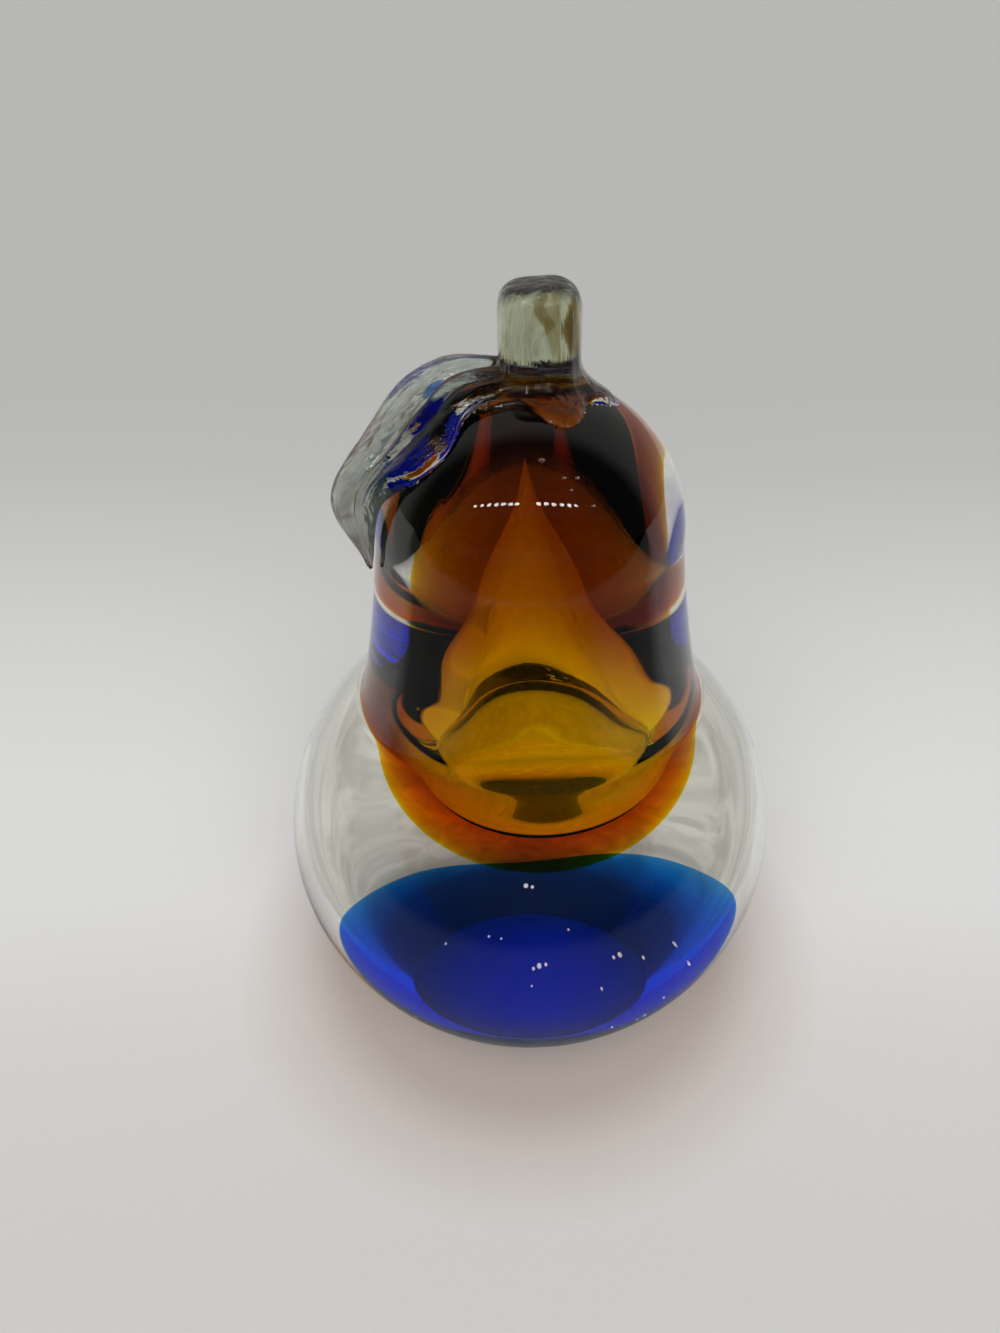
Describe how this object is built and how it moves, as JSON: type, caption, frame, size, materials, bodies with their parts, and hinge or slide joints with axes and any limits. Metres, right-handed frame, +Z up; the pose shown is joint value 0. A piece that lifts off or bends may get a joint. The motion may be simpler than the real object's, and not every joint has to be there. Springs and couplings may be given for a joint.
{
  "type": "glass pear paperweight",
  "caption": "Solid glass pear paperweight: clear casing over an amber core with a teardrop air bubble, cobalt blue base, smoky glass stem and leaf.",
  "frame": {"origin": "bottom centre of the bounding box, at the middle of the flat ground base", "axes": "+Z up along the pear's axis from base to stem, +X to the right seen from the front, +Y to the back; the leaf hangs on the -X side"},
  "size_m": [0.096, 0.096, 0.1446],
  "materials": {
    "clear_glass": "polished, colourless",
    "amber_glass": "polished, transparent amber",
    "blue_glass": "polished side, ground underside, cobalt blue",
    "stem_glass": "fire-polished, streaked brown and grey",
    "leaf_glass": "fire-polished, ribbed, smoky grey-green"
  },
  "bodies": {
    "root": {"clear_casing": "clear_glass", "amber_core": "amber_glass", "amber_seal": "amber_glass", "blue_base": "blue_glass", "stem": "stem_glass", "leaf": "leaf_glass"}
  },
  "joints": []
}
